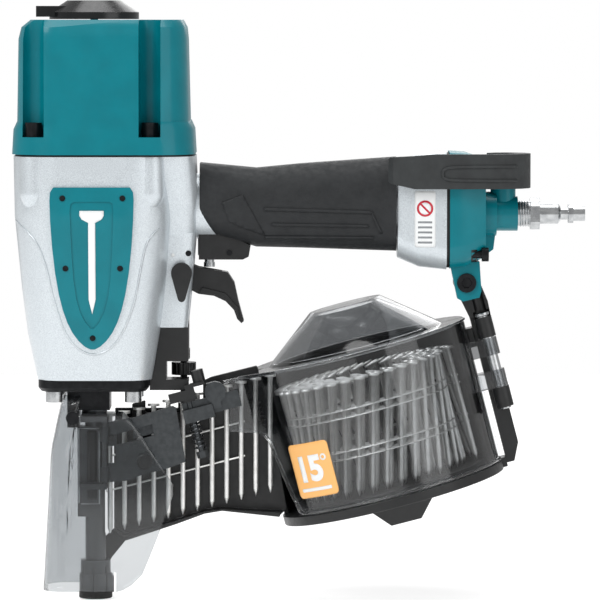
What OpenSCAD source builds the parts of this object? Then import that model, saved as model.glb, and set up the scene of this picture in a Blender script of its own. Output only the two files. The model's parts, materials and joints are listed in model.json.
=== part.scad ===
// Pneumatic coil nailer with a tilted drum magazine for wire-collated nails.
// The origin is the centre of the contact tip's face, on the driver's axis.
// +Z points up along the driver, +X points to the rear of the tool.

/* [Barrel] */
// Half width of the barrel at the joint with the head cover
barrel_r = 41; // [40:1:43]
// Height of the joint between barrel and head cover
joint_z = 231; // [229:1:233]
// Height of the top face of the head cover
head_z = 301; // [296:1:306]
// Height of the underside of the barrel
barrel_base_z = 115.5; // [115:0.5:116]

/* [Drive] */
// Bore radius of the cylinder sleeve
cyl_bore_r = 22; // [20:0.5:22]
// Radius of the driver blade
blade_r = 3; // [2.5:0.1:3.2]
// Working stroke of the piston
stroke = 97; // [90:1:98]

/* [Handle] */
// Height of the air inlet's axis
inlet_z = 200.5; // [199:0.5:202]
// Half width of the rubber grip
grip_hy = 19; // [18:0.5:21]

/* [Magazine] */
// Lean of the drum's axis towards the front, from vertical
drum_tilt = 14.5; // [14:0.5:15]
// Outer radius of the drum
drum_r = 58; // [57:0.5:59]
// Height of the drum's rim above its floor
drum_h = 77; // [76:1:80]
// Outer radius of the loaded coil of nails
coil_r = 50; // [44:1:51]
// Length of the nails
nail_len = 62; // [50:1:64]
// Spacing of the nails in the strip
nail_pitch = 7.6; // [7.2:0.1:8]

/* [Hidden] */

$fn = 48;
// Overshoot that keeps cuts clear of coincident faces
eps = 0.5;
// Gap between parts that move past each other
gap = 0.4;

// Handle, inlet and end cap
handle_z = 204.5;
handle_core_r = 17;
grip_x0 = 54.5;
grip_x1 = 156.5;
rear_x0 = 157;
cap_x0 = 183;
cap_x1 = 202.5;
inlet_x1 = 219.5;
plug_x1 = 254.5;
cap_bolt_y = 16.2;
cap_bolt_z = [180, 225];

// Trigger pivot and valve
pivot_x = 45.5;
pivot_z = 170.5;
valve_x = 59.5;
pin_x = 49;
lobe_pin_x = 70;
pin_z = 180.6;

// Cylinder group
cyl_wall = 2.5;
cyl_base_z = 122;
cyl_top_z = 250;
piston_h = 12;
piston_z = cyl_top_z - 1 - piston_h;
bumper_top_z = piston_z - stroke;
chamber_r = 32;
chamber_z = 156;
head_bolt_x = 29.8;
head_bolt_y = 31.5;
head_boss_r = 7.2;

// Nose
guide_r = 5.3;
guide_bore_r = 3.6;
tip_r = 7.8;
foot_h = 5;
tip_top_z = 20;
nose_bolt_x = 20.5;
nose_bolt_y = 18;

// Drum frame
drum_x = 154.7;
drum_y = 8;
drum_z = 57.2;
drum_wall = 2;
dome_h = 22;
hinge_u = 67.7;
hinge_r = 3;
arm_knuckles = [26.5, 64];
cover_knuckles = [37.5, 54.5];

module in_drum() {
    translate([drum_x, drum_y, drum_z]) rotate([0, -drum_tilt, 0]) children();
}

// Rounded rectangular slab lying in a level plane, for hulls
module level_slab(x0, x1, hy, z, r, h = 0.2) {
    for (x = [x0 + r, x1 - r], y = [r - hy, hy - r])
        translate([x, y, z]) cylinder(h = h, r = r, $fn = 32);
}

// Rounded rectangular slab standing across the handle, for hulls
module upright_slab(x, z0, z1, hy, r, h = 0.2) {
    for (z = [z0 + r, z1 - r], y = [r - hy, hy - r])
        translate([x, y, z]) rotate([0, 90, 0]) cylinder(h = h, r = r, $fn = 32);
}

// Cylinder along X or Y, from its start face
module rod_x(x, y, z, h, r) {
    translate([x, y, z]) rotate([0, 90, 0]) cylinder(h = h, r = r);
}

module rod_y(x, y, z, h, r) {
    translate([x, y, z]) rotate([-90, 0, 0]) cylinder(h = h, r = r);
}

// Plate cut from an outline in the XZ plane, from y0 to y1
module side_plate(points, y0, y1) {
    translate([0, y1, 0]) rotate([90, 0, 0]) linear_extrude(y1 - y0) polygon(points);
}

// Washer or short tube
module tube(h, r, bore) {
    difference() {
        cylinder(h = h, r = r);
        translate([0, 0, -eps]) cylinder(h = h + 2 * eps, r = bore);
    }
}

// Helical spring of round wire, swept as one closed skin
module coil_spring(r, wire, length, turns) {
    sides = 6;
    per_turn = 14;
    rings = turns * per_turn;
    points = [for (i = [0:rings], k = [0:sides - 1])
        let (a = 360 * i / per_turn, b = 360 * k / sides, d = r + wire * cos(b))
        [d * cos(a), d * sin(a), wire + (length - 2 * wire) * i / rings + wire * sin(b)]];
    skin = [for (i = [0:rings - 1], k = [0:sides - 1])
        [i * sides + k, i * sides + (k + 1) % sides,
            (i + 1) * sides + (k + 1) % sides, (i + 1) * sides + k]];
    start_cap = [for (k = [sides - 1:-1:0]) k];
    end_cap_face = [for (k = [0:sides - 1]) rings * sides + k];
    polyhedron(points, concat(skin, [start_cap, end_cap_face]), convexity = 8);
}

// Socket-head screw pointing down, with its head's top at the origin
module socket_screw(head_r, head_h, shank_r, shank_h) {
    difference() {
        union() {
            translate([0, 0, -head_h]) cylinder(h = head_h, r = head_r);
            translate([0, 0, -head_h - shank_h]) cylinder(h = shank_h + eps, r = shank_r);
        }
        translate([0, 0, -head_h * 0.6]) cylinder(h = head_h, r = head_r * 0.55, $fn = 6);
    }
}

// ---- Barrel, head and exhaust ----

// Tapered outside of the barrel, grown all round by a margin
module barrel_form(grow = 0) {
    r = barrel_r + grow;
    hull() {
        level_slab(-r, r, r, joint_z - 0.2, 24);
        level_slab(-r + 0.5, r - 0.5, r - 0.5, 200, 24);
        level_slab(-r + 4, r - 4, r - 4, 163, 22);
        level_slab(-r + 7, r - 7, r - 7, 139, 20);
        level_slab(-r + 12, r - 11, r - 13, barrel_base_z, 14);
    }
}

module main_housing() {
    ear_hy = 13;
    slot_hy = 7;
    color("gainsboro") difference() {
        union() {
            barrel_form();
            for (x = [-head_bolt_x, head_bolt_x], y = [-head_bolt_y, head_bolt_y]) {
                translate([x, y, 213]) cylinder(h = joint_z - 213, r = head_boss_r);
                translate([x, y, 213]) scale([1, 1, 1.3]) sphere(head_boss_r, $fn = 32);
            }
            hull() {
                level_slab(20, 52.5, 34, joint_z - 0.2, 12);
                level_slab(20, 54, 24, 205, 10);
                level_slab(20, 53, 18, 190, 8);
            }
            hull() {
                level_slab(20, 53, 18, 191, 6);
                level_slab(20, 51, ear_hy, 166, 5);
                level_slab(20, 48.5, ear_hy, 142, 4);
            }
            rod_x(40, 0, handle_z, 130, handle_core_r);
            hull() {
                upright_slab(rear_x0, 178, 228, 19, 12);
                upright_slab(168, 173.5, 231, 22, 12);
                upright_slab(cap_x0 - 1, 172, 233, 23, 12);
            }
        }
        translate([0, 0, chamber_z]) cylinder(h = 120, r = chamber_r);
        translate([0, 0, cyl_base_z]) cylinder(h = 60, r = cyl_bore_r + cyl_wall + 0.02);
        translate([0, 0, barrel_base_z - eps]) cylinder(h = 20, r = cyl_bore_r);
        for (x = [-nose_bolt_x, nose_bolt_x], y = [-nose_bolt_y, nose_bolt_y])
            translate([x, y, barrel_base_z - eps]) cylinder(h = 5, r = 2.6);
        rod_x(30, 0, handle_z, 140, handle_core_r - 4);
        translate([166, 0, 0]) intersection() {
            rod_x(0, 0, handle_z, 20, 25);
            translate([-1, -18, 178]) cube([30, 36, 48]);
        }
        translate([valve_x, 0, 176]) cylinder(h = 30, r = 5.97);
        translate([38, -slot_hy, 130]) cube([20, 2 * slot_hy, 48]);
        rod_y(pivot_x, -20, pivot_z, 40, 3.05);
        rod_y(pin_x, -20, pin_z, 40, 1.5);
        for (x = [-head_bolt_x, head_bolt_x], y = [-head_bolt_y, head_bolt_y])
            translate([x, y, 205]) cylinder(h = 40, r = 2.6);
    }
}

// Head cover's outside: a flared flange under near-upright walls
module head_form() {
    hull() {
        level_slab(-41.6, 52.6, barrel_r + 0.6, joint_z + 1, 22);
        level_slab(-40.9, 51.9, barrel_r, joint_z + 13.5, 22);
        level_slab(-38.9, 50, barrel_r - 1.7, joint_z + 17.8, 20);
    }
    hull() {
        level_slab(-39.2, 50, barrel_r - 1.4, joint_z + 1, 20);
        level_slab(-38.1, 48.6, barrel_r - 2.4, head_z - 10, 19);
        level_slab(-36.6, 48, barrel_r - 4, head_z - 4, 18);
        level_slab(-32, 46, barrel_r - 8, head_z - 0.2, 16);
    }
}

module head_cover() {
    color("teal") difference() {
        head_form();
        translate([0, 0, joint_z - eps]) cylinder(h = head_z - joint_z - 12, r = chamber_r);
        translate([0, 0, head_z - 20]) cylinder(h = 30, r = 9);
        for (x = [-head_bolt_x, head_bolt_x], s = [-1, 1]) {
            translate([x, s * head_bolt_y, 241]) cylinder(h = 80, r = 5.6);
            translate([x - 5.6, s > 0 ? head_bolt_y : -head_bolt_y - 20, 241]) cube([11.2, 20, 80]);
        }
        for (x = [-head_bolt_x, head_bolt_x], y = [-head_bolt_y, head_bolt_y])
            translate([x, y, joint_z - eps]) cylinder(h = 20, r = 2.6);
    }
}

module head_bolts() {
    color("dimgray") for (x = [-head_bolt_x, head_bolt_x], y = [-head_bolt_y, head_bolt_y])
        translate([x, y, 248.4]) socket_screw(4.3, 7.3, 2.5, 30);
}

module head_gasket() {
    color("black") difference() {
        hull() level_slab(-40, 51.5, 40, joint_z, 21, 1);
        translate([0, 0, joint_z - eps]) cylinder(h = 2, r = chamber_r + 0.2);
        for (x = [-head_bolt_x, head_bolt_x], y = [-head_bolt_y, head_bolt_y])
            translate([x, y, joint_z - eps]) cylinder(h = 2, r = 2.6);
    }
}

module deflector() {
    color("black") difference() {
        union() {
            translate([0, 0, head_z + 0.3]) cylinder(h = 3.6, r = 23.2);
            hull() {
                translate([0, 0, head_z + 3]) cylinder(h = 1, r = 23);
                translate([0, 0, head_z + 9.2]) cylinder(h = 0.8, r = 14);
            }
            translate([-29.5, -12, head_z + 1.5]) cube([20, 24, 5.6]);
        }
        translate([0, 0, head_z - eps]) cylinder(h = 6.5, r = 11);
        translate([-31, -10, head_z + 2.6]) cube([30, 20, 3.2]);
        translate([0, 0, head_z]) cylinder(h = 12, r = 2.1);
        translate([0, 0, head_z + 7.8]) cylinder(h = 4, r = 4.5);
    }
}

module deflector_screw() {
    color("dimgray") {
        translate([0, 0, head_z + 9.9]) socket_screw(4, 2, 2, 15);
        intersection() {
            union() for (a = [0, 90])
                rotate([0, 0, a]) translate([-10, -2, head_z - 6]) cube([20, 4, 3]);
            translate([0, 0, head_z - 20]) cylinder(h = 30, r = 8.98);
        }
    }
}

module head_valve() {
    color("silver") translate([0, 0, cyl_top_z + 0.5]) {
        tube(10, chamber_r - gap, 11);
        translate([0, 0, 9]) tube(8, 14, 11);
    }
}

module head_valve_spring() {
    color("gray") translate([0, 0, cyl_top_z + 10.7]) coil_spring(20, 1.2, 27, 4);
}

module cylinder_sleeve() {
    color("silver") translate([0, 0, cyl_base_z])
        tube(cyl_top_z - cyl_base_z, cyl_bore_r + cyl_wall, cyl_bore_r);
}

module cylinder_seal() {
    color("black") for (z = [chamber_z + 4, joint_z - 6])
        translate([0, 0, z]) tube(4, chamber_r - 0.05, cyl_bore_r + cyl_wall + 0.05);
}

module piston() {
    color("lightgray") difference() {
        translate([0, 0, piston_z]) cylinder(h = piston_h, r = cyl_bore_r - 0.06);
        translate([0, 0, piston_z - eps]) cylinder(h = piston_h - 2, r = blade_r + 0.02);
    }
}

module driver_blade() {
    color("silver") translate([0, 0, 99]) cylinder(h = piston_z + 9 - 99, r = blade_r);
}

module bumper() {
    color("saddlebrown") translate([0, 0, barrel_base_z + 0.5])
        tube(bumper_top_z - barrel_base_z - 1, cyl_bore_r - 1, 6);
}

// Both sides of a badge outline, from one half drawn bottom to top
function badge(half) = concat([for (p = half) [0.2 + p[0], p[1]]],
    [for (i = [len(half) - 1:-1:0]) [0.2 - half[i][0], half[i][1]]]);

shield = badge([[1.2, 132.1], [4, 133.6], [7.2, 136.6], [10.2, 140.8], [12.8, 146], [15, 152.4],
    [17, 160.5], [18.9, 172], [20.3, 185], [21.2, 198.5], [21.5, 209], [21.2, 213], [19.6, 215.5]]);
panel = badge([[0.8, 143], [3.4, 146], [6, 151], [8, 158], [9.4, 168], [10.2, 180], [10.8, 194],
    [11.1, 204], [10.6, 207.2], [9, 208.2]]);

module name_plate() {
    color("teal") difference() {
        intersection() {
            side_plate(shield, -60, 0);
            barrel_form(1.6);
        }
        barrel_form(0);
        difference() {
            side_plate(panel, -60, 0);
            barrel_form(0.9);
        }
        for (p = badge_screws) rod_y(p[0], -60, p[1], 40, 1.5);
    }
}

badge_screws = [[-14.7, 210], [16, 210], [-13.3, 174], [14.6, 174], [0.3, 138]];

// Depth of the barrel's near face at a height, along its taper
function face_y(z) = z > 200 ? -barrel_r + 0.5 * (joint_z - z) / 31
    : z > 163 ? -barrel_r + 0.5 + 3.5 * (200 - z) / 37
    : z > 139 ? -barrel_r + 4 + 3 * (163 - z) / 24
    : -barrel_r + 7 + 6 * (139 - z) / 23;

module name_plate_screws() {
    color("black") for (p = badge_screws)
        rod_y(p[0], face_y(p[1]) - 2.2, p[1], 1.9, 1.45);
}

module housing_pins() {
    color("dimgray") {
        rod_y(pin_x, -17, pin_z, 34, 1.48);
        rod_y(lobe_pin_x, -9.6, pin_z, 19.2, 1.48);
    }
}

// ---- Handle, end cap and inlet ----

module grip_sleeve() {
    color("dimgray") difference() {
        union() {
            hull() {
                upright_slab(grip_x0, 197, 227, grip_hy - 2, 8);
                upright_slab(63, 190, 224.6, grip_hy, 12);
                upright_slab(84, 183.5, 224.4, grip_hy - 0.5, 15);
            }
            hull() {
                upright_slab(84, 183.5, 224.4, grip_hy - 0.5, 15);
                upright_slab(107, 183, 226.6, grip_hy, 15);
            }
            hull() {
                upright_slab(107, 183, 226.6, grip_hy, 15);
                upright_slab(grip_x1 - 0.3, 181.5, 230, grip_hy + 1.5, 14);
            }
        }
        rod_x(grip_x0 - 1, 0, handle_z, 120, handle_core_r);
        side_plate([[50, 198], [60, 197], [70, 190.2], [81.2, 184.5], [81.2, 170], [50, 170]], -9.1, 9.1);
        side_plate([[50, 198], [54.8, 198], [54.8, 233], [50, 233]], -30, 30);
    }
}

module end_cap() {
    color("teal") difference() {
        union() {
            hull() {
                upright_slab(cap_x0 + 0.8, 172.5, 233, 23, 12);
                upright_slab(192, 173.5, 232.5, 22.5, 12);
                upright_slab(cap_x1 - 0.2, 178, 229, 17, 12);
            }
            rod_x(195, 0, inlet_z, inlet_x1 - 195, 9);
            rod_x(cap_x1 - 2, 0, inlet_z, 8, 11.5);
            translate([hook_x, 0, inlet_z]) cylinder(h = hook_z0 - 0.3 - inlet_z, r = 6.5);
            side_plate([[184, 176], [188, 157], [191, 155.4], [199.5, 157.5], [200.5, 161], [199.5, 176]],
                -12, -2);
            side_plate([[195, 186], [203, 196], [208, 190], [207, 182], [203, 179]], -2, 2);
        }
        translate([181, 0, 0]) intersection() {
            rod_x(0, 0, handle_z, 15, 24);
            translate([0, -17, 180]) cube([30, 34, 44]);
        }
        rod_x(190, 0, inlet_z, 35, 6.6);
        rod_y(192.8, -20, 165.1, 40, 2.6);
        for (y = [-cap_bolt_y, cap_bolt_y], z = cap_bolt_z) {
            rod_x(180, y, z, 30, 2.1);
            rod_x(cap_x1 - 2.1, y, z, 10, 3.65);
        }
    }
}

module end_cap_gasket() {
    color("black") difference() {
        hull() upright_slab(cap_x0 - 0.75, 173, 232, 22.5, 12, 1.5);
        translate([cap_x0 - 2, -17.5, 179.5]) cube([4, 35, 45]);
        for (y = [-cap_bolt_y, cap_bolt_y], z = cap_bolt_z) rod_x(180, y, z, 30, 2.1);
    }
}

module end_cap_bolts() {
    color("dimgray") for (y = [-cap_bolt_y, cap_bolt_y], z = cap_bolt_z)
        translate([cap_x1 + 1.5, y, z]) rotate([0, 90, 0]) socket_screw(3.6, 3.6, 2, 16);
}

module air_plug() {
    color("silver") translate([0, 0, inlet_z]) rotate([0, 90, 0]) difference() {
        union() {
            translate([0, 0, 212]) cylinder(h = 14.5, r = 6.5);
            translate([0, 0, 226]) cylinder(h = 5, r = 8.25, $fn = 6);
            translate([0, 0, 231]) cylinder(h = 9.6, r = 5.4);
            translate([0, 0, 240.5]) cylinder(h = 1.4, r1 = 5.4, r2 = 3.2);
            translate([0, 0, 241.8]) cylinder(h = 4.2, r = 3.2);
            translate([0, 0, 245.8]) cylinder(h = 2.6, r = 5);
            translate([0, 0, 248.3]) cylinder(h = plug_x1 - 248.3, r = 3.9);
        }
        translate([0, 0, 205]) cylinder(h = 60, r = 2);
    }
}

// Hook: a band that wraps over the rear and pivots on an upright bolt
hook_x = 212;
hook_z0 = 214.2;
hook_z1 = 232;
hook_arm_y = -30;

module hook_plan() {
    polygon([[152, -27.5], [154.5, hook_arm_y], [206, hook_arm_y], [214, -28], [221, -22.5], [225, -15],
        [226, -6], [224, 3], [219, 7.5], [212, 9], [206, 6.5], [203.5, 0], [206, -6.5], [212, -9],
        [217, -11], [217, -15], [213, -20], [206, -23.5], [200, -24.5], [154.5, -24.5], [152, -26.5]]);
}

module rafter_hook() {
    color("dimgray") difference() {
        union() {
            intersection() {
                translate([0, 0, hook_z0]) linear_extrude(hook_z1 - hook_z0) hook_plan();
                side_plate([[150, 228], [153, 230.5], [163, 231], [176, 232], [227, 232], [227, 213],
                    [175, 212], [160, 215.5], [153, 217], [150, 220]], -60, 60);
            }
            translate([hook_x, 0, hook_z0 + 0.5]) cylinder(h = 5, r = 9);
        }
        translate([hook_x, 0, hook_z0 - 5]) cylinder(h = 30, r = 3.05);
        translate([hook_x, 0, hook_z0 + 5.6]) cylinder(h = 30, r = 5.6);
    }
}

module hook_bolt() {
    color("silver") {
        translate([hook_x, 0, hook_z0 - 0.3]) cylinder(h = 8, r = 3);
        translate([hook_x, 0, hook_z0 + 5.8]) cylinder(h = 3, r = 5.2, $fn = 6);
    }
}

// ---- Trigger and valve ----

// Finger lever outline; the pivot is at its front end
trigger_side = [[40.5, 172.5], [45.5, 175.3], [50, 174.6], [54, 173], [69, 170.3], [72.5, 164.8],
    [74.6, 155], [77.4, 144.8], [76.2, 143.8], [74, 146], [72.2, 151], [68, 155.4], [62, 158.2],
    [53.6, 159.2], [46, 163.2], [40.8, 168]];

module trigger_bracket() {
    color("black") difference() {
        side_plate([[54.2, 194], [60, 194], [70, 190], [81, 184.2], [80, 178.5], [77, 177], [54.2, 177]],
            -9, 9);
        rod_x(50, 0, handle_z, 40, handle_core_r + 0.02);
        translate([valve_x, 0, 176]) cylinder(h = 30, r = 5.97);
        rod_y(lobe_pin_x, -20, pin_z, 40, 1.5);
    }
}

module trigger() {
    color("black") difference() {
        union() {
            side_plate(trigger_side, -6.2, 6.2);
            side_plate([[54, 159.1], [62, 158.1], [68, 155.3], [72.2, 150.9], [75, 146], [74.5, 152],
                [68, 159.5], [56, 162.5]], -7.6, 7.6);
        }
        rod_y(pivot_x, -10, pivot_z, 20, 3.05);
        translate([48, -4.2, 163]) cube([18, 8.4, 20]);
    }
}

module selector_shaft() {
    color("dimgray") rod_y(pivot_x, -16.5, pivot_z, 31.5, 3);
}

module mode_selector() {
    tail_z = 157.6;
    color("black") difference() {
        hull() {
            rod_y(pivot_x, -20.5, pivot_z, 3.6, 5.4);
            rod_y(pivot_x, -19.5, tail_z, 2.6, 2);
        }
        rod_y(pivot_x, -17.6, pivot_z, 3, 3);
    }
}

module valve_body() {
    color("gray") translate([valve_x, 0, 179]) tube(22, 5.95, 3);
}

module valve_stem() {
    color("silver") translate([valve_x, 0, 172.9]) {
        cylinder(h = 17, r = 2.5);
        cylinder(h = 2.4, r = 2.9);
    }
}

module valve_spring() {
    color("gray") translate([valve_x, 0, 190.1]) coil_spring(2.1, 0.35, 9, 5);
}

// ---- Nose ----

flange_z = 109.5;

module nose_flange() {
    color("black") difference() {
        union() {
            hull() {
                level_slab(-28.6, 28.6, 26, flange_z + 2, 9, 4);
                level_slab(-27, 27, 24, flange_z, 8);
            }
            translate([-14, -12, 99]) cube([22, 24, 11]);
            translate([-14, -12, 90]) cube([6, 24, 10]);
        }
        translate([0, 0, 90]) cylinder(h = 30, r = 7.1);
        for (x = [-nose_bolt_x, nose_bolt_x], y = [-nose_bolt_y, nose_bolt_y]) translate([x, y, 100]) cylinder(h = 20, r = 2.6);
    }
}

module nose_guide() {
    color("gray") difference() {
        union() {
            translate([0, 0, 14]) cylinder(h = 90, r = guide_r);
            translate([0, 0, 92]) cylinder(h = 22, r = 7);
            translate([-9, -6, 43]) cube([12, 12, 5.6]);
            translate([-9, -5.6, 48.5]) cube([12, 11.2, 41.4]);
        }
        translate([0, 0, 10]) cylinder(h = 110, r = guide_bore_r);
        translate([0, -2, 34]) cube([8, 4, 66]);
        translate([0, -3.5, 94]) cube([10, 7, 5]);
        translate([-4, -9, 52]) cube([5, 3.6, 36]);
    }
}

module nose_bolts() {
    color("silver") for (x = [-nose_bolt_x, nose_bolt_x], y = [-nose_bolt_y, nose_bolt_y])
        translate([x, y, flange_z - 0.1]) rotate([180, 0, 0]) translate([0, 0, 5.6])
            socket_screw(4.4, 5.6, 2.5, 9.5);
}

module contact_tip() {
    color("dimgray") difference() {
        union() {
            translate([0, 0, foot_h]) cylinder(h = tip_top_z - foot_h, r = tip_r);
            translate([0, 0, foot_h]) cylinder(h = 8, r = tip_r + 0.7);
        }
        translate([0, 0, 0]) cylinder(h = 40, r = guide_r + 0.3);
        for (a = [65:50:365]) rotate([0, 0, a]) translate([tip_r - 1.2, -0.3, 0]) cube([4, 0.6, 17]);
    }
}

module contact_foot() {
    color("black") tube(foot_h, tip_r + 0.9, guide_r + 0.4);
}

// Contact linkage: a flat arm beside the nose, then a threaded rod up to the trigger
arm_y0 = 8.2;
arm_y1 = 11;
rod_pos_x = 46;
rod_pos_y = 6.5;
rod_r = 1.8;

module contact_arm() {
    color("black") {
        difference() {
            union() {
                side_plate([[-3, 14], [5.5, 14], [8, 20], [17, 31], [17, 92], [50, 92], [50, 98.5],
                    [10, 98.5], [10, 36], [-3, 24]], arm_y0, arm_y1);
                side_plate([[-3, 14], [5.5, 14], [5.5, 19.8], [-3, 19.8]], tip_r - 1.6, arm_y0 + eps);
            }
            cylinder(h = 40, r = tip_r);
        }
        translate([43, 3.4, 97]) cube([6, 7.6, 4.6]);
        translate([rod_pos_x, rod_pos_y, 100]) cylinder(h = 31, r = rod_r);
    }
}

module contact_link() {
    color("black") {
        difference() {
            translate([43.8, -2.4, 125]) cube([5.4, 11.5, 5]);
            translate([rod_pos_x, rod_pos_y, 120]) cylinder(h = 20, r = rod_r);
        }
        translate([44, -2.4, 129.9]) cube([5, 4.8, 20.4]);
    }
}

module contact_spring() {
    color("gray") translate([rod_pos_x, rod_pos_y, 130.2]) coil_spring(2.4, 0.45, 10, 5);
}

module depth_block() {
    color("black") difference() {
        union() {
            translate([28.8, -13, 109.5]) cube([20, 20.8, 5.5]);
            translate([28.8, -13, 109.5]) cube([8.4, 26, 31]);
            translate([31.8, -13, 124.5]) cube([17, 9.6, 16]);
            translate([31.8, -13, 140.4]) cube([17, 26, 1.5]);
        }
        barrel_form(0.05);
        translate([rod_pos_x, rod_pos_y, 105]) cylinder(h = 30, r = rod_r + 0.4);
        translate([42.4, 2.6, 105]) cube([10, 12, 7.6]);
        translate([43.4, -2.8, 130]) cube([6, 5.6, 20]);
        translate([rod_pos_x, rod_pos_y, 130]) cylinder(h = 30, r = 1.9);
    }
}

module depth_wheel() {
    color("dimgray") translate([rod_pos_x, rod_pos_y, 116.2]) difference() {
        cylinder(h = 6.6, r = 6.4);
        translate([0, 0, -eps]) cylinder(h = 12, r = rod_r + 0.05);
        for (a = [0:24:336]) rotate([0, 0, a]) translate([6.9, 0, -eps]) cylinder(h = 12, r = 0.9);
    }
}

// Clear guard wrapped round the front of the nose
guard_base_z = 5.5;
guard_wall = 1.2;
guard_screw_x = -11;
guard_screw_z = 95.5;

module guard_form(inset = 0, over = 0) {
    hull() {
        level_slab(-15.6 + inset, 60 + over, 16.5 - inset, 109 + over, 9);
        level_slab(-22.4 + inset, 60 + over, 18.5 - inset, 78, 10);
        level_slab(-26.5 + inset, 60 + over, 21 - inset, guard_base_z - 1 - over, 11);
    }
}

module guard_skin() {
    difference() {
        guard_form();
        guard_form(guard_wall, 2);
        for (x = [-18, 11]) translate([x, -40, 0]) cube([1.1, 80, 15.5]);
    }
}

module chip_shield() {
    color("lightsteelblue", 0.4) difference() {
        intersection() {
            guard_skin();
            side_plate([[-30, 5.5], [-2, 5.5], [-2, 98.5], [-13, 98.5], [-17, 108], [-30, 108]], -40, 40);
        }
        rod_y(guard_screw_x, -40, guard_screw_z, 60, 2.02);
        rod_y(guard_screw_x, -40, guard_screw_z, 22.5, 3.45);
    }
}

module shield_flap() {
    color("lightsteelblue", 0.4) intersection() {
        guard_skin();
        side_plate([[8.2, 5.5], [12, 5.5], [18, 7.5], [25, 14.5], [33, 34], [41.5, 57], [41.5, 60],
            [36.5, 68], [19.5, 94.5], [15, 99], [8.2, 100]], -40, 0);
    }
}

module shield_screws() {
    color("dimgray") {
        rod_y(guard_screw_x, -17.6, guard_screw_z, 5.55, 2);
        rod_y(guard_screw_x, -18.8, guard_screw_z, 1.25, 3.4);
    }
}

// ---- Feed ----

feed_y = 21;
feed_z = 75;
track_y0 = 4;
track_y1 = 6.5;

module feed_cylinder() {
    color("dimgray") {
        difference() {
            rod_x(31, feed_y, feed_z, 25, 9);
            rod_x(33, feed_y, feed_z, 21, 7.4);
            rod_x(29, feed_y, feed_z, 10, 2.6);
        }
        translate([48, 6.5, 68]) cube([8, 6.9, 14]);
    }
}

module feed_piston() {
    color("silver") {
        rod_x(19.5, feed_y, feed_z, 25, 2.5);
        rod_x(40, feed_y, feed_z, 5.5, 7.3);
    }
}

module feed_pawl() {
    color("gray") difference() {
        translate([18.2, 2, 71.5]) cube([4.4, feed_y + 1, 7]);
        rod_x(19.5, feed_y, feed_z, 8, 2.5);
    }
}

door_x = 5.5;
door_y = -14;

// Outline of the feed door, level with the strip's slope
door_side = [[4.6, 61.5], [19, 62.7], [23, 65.3], [36.7, 68.4], [47.3, 72.3], [42.4, 100.4],
    [40.6, 101.3], [20.8, 95.4], [4.6, 92.3]];

module feed_door() {
    color("dimgray") difference() {
        union() {
            side_plate(door_side, -13.4, -11.4);
            side_plate([[20, 84], [43, 90], [41.4, 99], [20, 93.5]], -12, -6);
            side_plate([[9, 62], [19, 63.4], [36, 69], [36, 73], [9, 66]], -12, -6);
            rod_y(26.1, -14.6, 72.3, 3, 4.6);
            rod_y(8.8, -14.2, 84.5, 2.5, 2.6);
            for (z = [62, 83]) translate([door_x, door_y, z]) cylinder(h = 8, r = 2.4);
        }
        side_plate([[11.5, 81], [31, 86], [30, 92], [11.5, 86.6]], -20, -10);
        translate([5, -20, 71.6]) cube([6, 10, 9]);
        translate([door_x, door_y, 55]) cylinder(h = 40, r = 1.55);
    }
}

module door_pin() {
    color("silver") {
        translate([door_x, door_y, 59]) cylinder(h = 35, r = 1.5);
        difference() {
            for (z = [58, 93]) translate([-7, -15.5, z]) cube([13.5, 9.85, 3]);
            translate([0, 0, 50]) cylinder(h = 60, r = 7.02);
        }
    }
}

// Latch pivot, parallel to the drum's axis
latch_x = 53.7;
latch_y = -10;
latch_z = 85;

module at_latch() {
    translate([latch_x, latch_y, latch_z]) rotate([0, -drum_tilt, 0]) children();
}

module door_latch() {
    color("black") at_latch() difference() {
        union() {
            translate([0, 0, 19]) cylinder(h = 4, r = 4.2);
            translate([-1.5, -7, 19.4]) cube([6, 7, 3.6]);
            translate([-9.2, -8.4, 20.5]) cube([13.7, 3.6, 5]);
            translate([0, -8.4, 25.4]) cube([4.5, 3.6, 2.6]);
            translate([2.9, -8.4, 26.2]) cube([7.4, 8.4, 1.8]);
            translate([8, -3.4, 27.6]) cylinder(h = 6.6, r = 3.3);
        }
        translate([0, 0, 10]) cylinder(h = 20, r = 1.55);
    }
}

module latch_bracket() {
    color("dimgray") at_latch() {
        translate([-4.5, -4, 8.2]) cube([16, 6.6, 7]);
        translate([-4, -0.5, 10]) cube([30, 1.8, 8.7]);
        translate([11, -2, 12]) cube([5, 4.6, 13.8]);
        translate([14.5, 0, 20.3]) rotate([90, 0, 0]) translate([0, 0, -2.6]) cylinder(h = 4.6, r = 5.5);
        translate([0, 0, -10]) cylinder(h = 32.8, r = 1.5);
        translate([0, 0, -11]) cylinder(h = 3.4, r = 3, $fn = 6);
    }
}

module latch_spring() {
    color("gray") at_latch() translate([0, 0, -7.2]) coil_spring(2.7, 0.55, 15, 6);
}

strip_head_z = 95.6;
function strip_rise(x) = (x - nail_pitch) * tan(drum_tilt);

module feed_track() {
    color("black") difference() {
        union() {
            side_plate([[9.5, 36], [16, 30.3], [42, 38.8], [57, 44.3], [66, 45.8], [78, 44.5], [96, 42.6],
                [100, 46], [88, 112], [84, 121], [60, 115], [46, 108], [19, 101], [19, 94], [9.5, 92]],
                track_y0, track_y1);
            side_plate([[9.5, 36], [16, 30.3], [42, 38.8], [57, 44.3], [66, 45.8], [78, 44.5], [96, 42.6],
                [97, 45.2], [78, 46], [66, 46.9], [57, 45.5], [42, 40.6], [15, 32.6]], -5, track_y0 + eps);
        }
        translate([17.6, track_y0 - 3, 71]) cube([13, 8, 8]);
        side_plate([[26, 96.4], [56, 96.4], [56, 115], [26, 115]], track_y0 - eps, track_y1 + eps);
    }
}

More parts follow.
